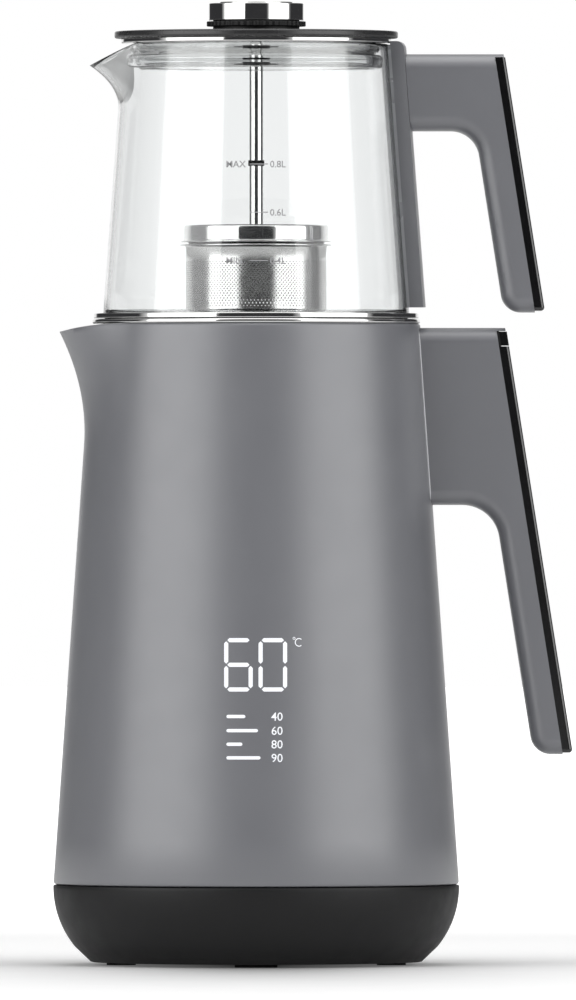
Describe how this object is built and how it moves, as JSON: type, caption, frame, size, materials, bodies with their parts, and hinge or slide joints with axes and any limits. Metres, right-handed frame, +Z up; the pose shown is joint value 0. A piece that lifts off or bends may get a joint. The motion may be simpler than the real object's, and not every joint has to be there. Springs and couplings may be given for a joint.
{
  "type": "tea maker",
  "caption": "Electric kettle on a round power base, with a lidded glass teapot and a rod-hung infuser basket seated on its mouth.",
  "frame": {"origin": "the middle of the object's own box in X and Y, at the height of the surface that the feet stand on; the vessels' axis is at x -0.022532 m", "axes": "+Z up along the vessels' axis, +X to the handles, -X to the spouts, -Y to the display"},
  "size_m": [0.2074, 0.1624, 0.3851],
  "materials": {
    "black_plastic": "fine moulded grain, matte",
    "grey_plastic": "soft-touch satin",
    "gloss_black": "high gloss",
    "white_plastic": "moulded",
    "polished_steel": "mirror polished",
    "brushed_steel": "turned grain",
    "steel": "zinc plated",
    "aluminium": "cast",
    "brass": "bright",
    "rubber": "matte",
    "clear_silicone": "translucent silicone",
    "glass": "clear borosilicate",
    "board_green": "solder resist",
    "wire_brown": "PVC insulation",
    "wire_blue": "PVC insulation",
    "lit_film": "lit translucent film"
  },
  "bodies": {
    "power_base": {"base_shell": "black_plastic", "base_bottom_cover": "black_plastic", "base_screws": "steel", "base_feet": "rubber", "base_coupling_hub": "black_plastic", "base_contacts": "brass", "cord_gland": "rubber", "mains_terminal_block": "white_plastic", "live_lead": "wire_brown", "neutral_lead": "wire_blue"},
    "kettle": {"kettle_housing": "grey_plastic", "kettle_liner": "brushed_steel", "kettle_mouth_ring": "polished_steel", "kettle_floor": "black_plastic", "kettle_coupler": "black_plastic", "kettle_contacts": "brass", "heater_plate": "aluminium", "heating_element": "brushed_steel", "temperature_sensor": "brass", "overheat_cutout": "white_plastic", "power_board": "board_green", "relay": "black_plastic", "supply_capacitor": "aluminium", "display_board": "board_green", "display_light_guide": "white_plastic", "display_digits": "lit_film", "kettle_handle": "grey_plastic", "kettle_handle_cover": "gloss_black", "kettle_handle_screws": "steel", "button_board": "board_green"},
    "power_key": {"power_key": "gloss_black"},
    "temperature_key": {"temperature_key": "gloss_black"},
    "teapot": {"teapot_glass": "glass", "teapot_foot_ring": "polished_steel", "handle_pad": "clear_silicone", "handle_bracket": "grey_plastic", "teapot_handle": "grey_plastic", "teapot_handle_cover": "gloss_black", "teapot_handle_screws": "steel"},
    "lid": {"lid_skirt": "polished_steel", "lid_plate": "gloss_black", "lid_seal": "clear_silicone", "rod_guide_bush": "black_plastic"},
    "infuser": {"knob_base": "black_plastic", "knob_shell": "polished_steel", "knob_disc": "polished_steel", "infuser_rod": "polished_steel", "rod_collar": "rubber", "infuser_cap": "polished_steel"},
    "basket": {"infuser_basket": "brushed_steel"}
  },
  "joints": [
    {"name": "kettle_lift", "type": "slide", "parent": "power_base", "child": "kettle", "axis": [0, 0, 1], "range_m": [0, 0.06]},
    {"name": "power_key_press", "type": "slide", "parent": "kettle", "child": "power_key", "axis": [-0.988, 0, -0.1547], "range_m": [0, 0.0008], "stiffness_N_per_m": 600, "springref_m": -0.0005},
    {"name": "temperature_key_press", "type": "slide", "parent": "kettle", "child": "temperature_key", "axis": [-0.988, 0, -0.1547], "range_m": [0, 0.0008], "stiffness_N_per_m": 600, "springref_m": -0.0005},
    {"name": "teapot_lift", "type": "slide", "parent": "kettle", "child": "teapot", "axis": [0, 0, 1], "range_m": [0, 0.06]},
    {"name": "lid_lift", "type": "slide", "parent": "teapot", "child": "lid", "axis": [0, 0, 1], "range_m": [0, 0.12]},
    {"name": "infuser_lift", "type": "slide", "parent": "lid", "child": "infuser", "axis": [0, 0, 1], "range_m": [0, 0.04]},
    {"name": "basket_twist", "type": "hinge", "parent": "infuser", "child": "basket", "pos_m": [-0.02253, 0, 0.275], "axis": [0, 0, 1], "range_deg": [0, 25]}
  ]
}
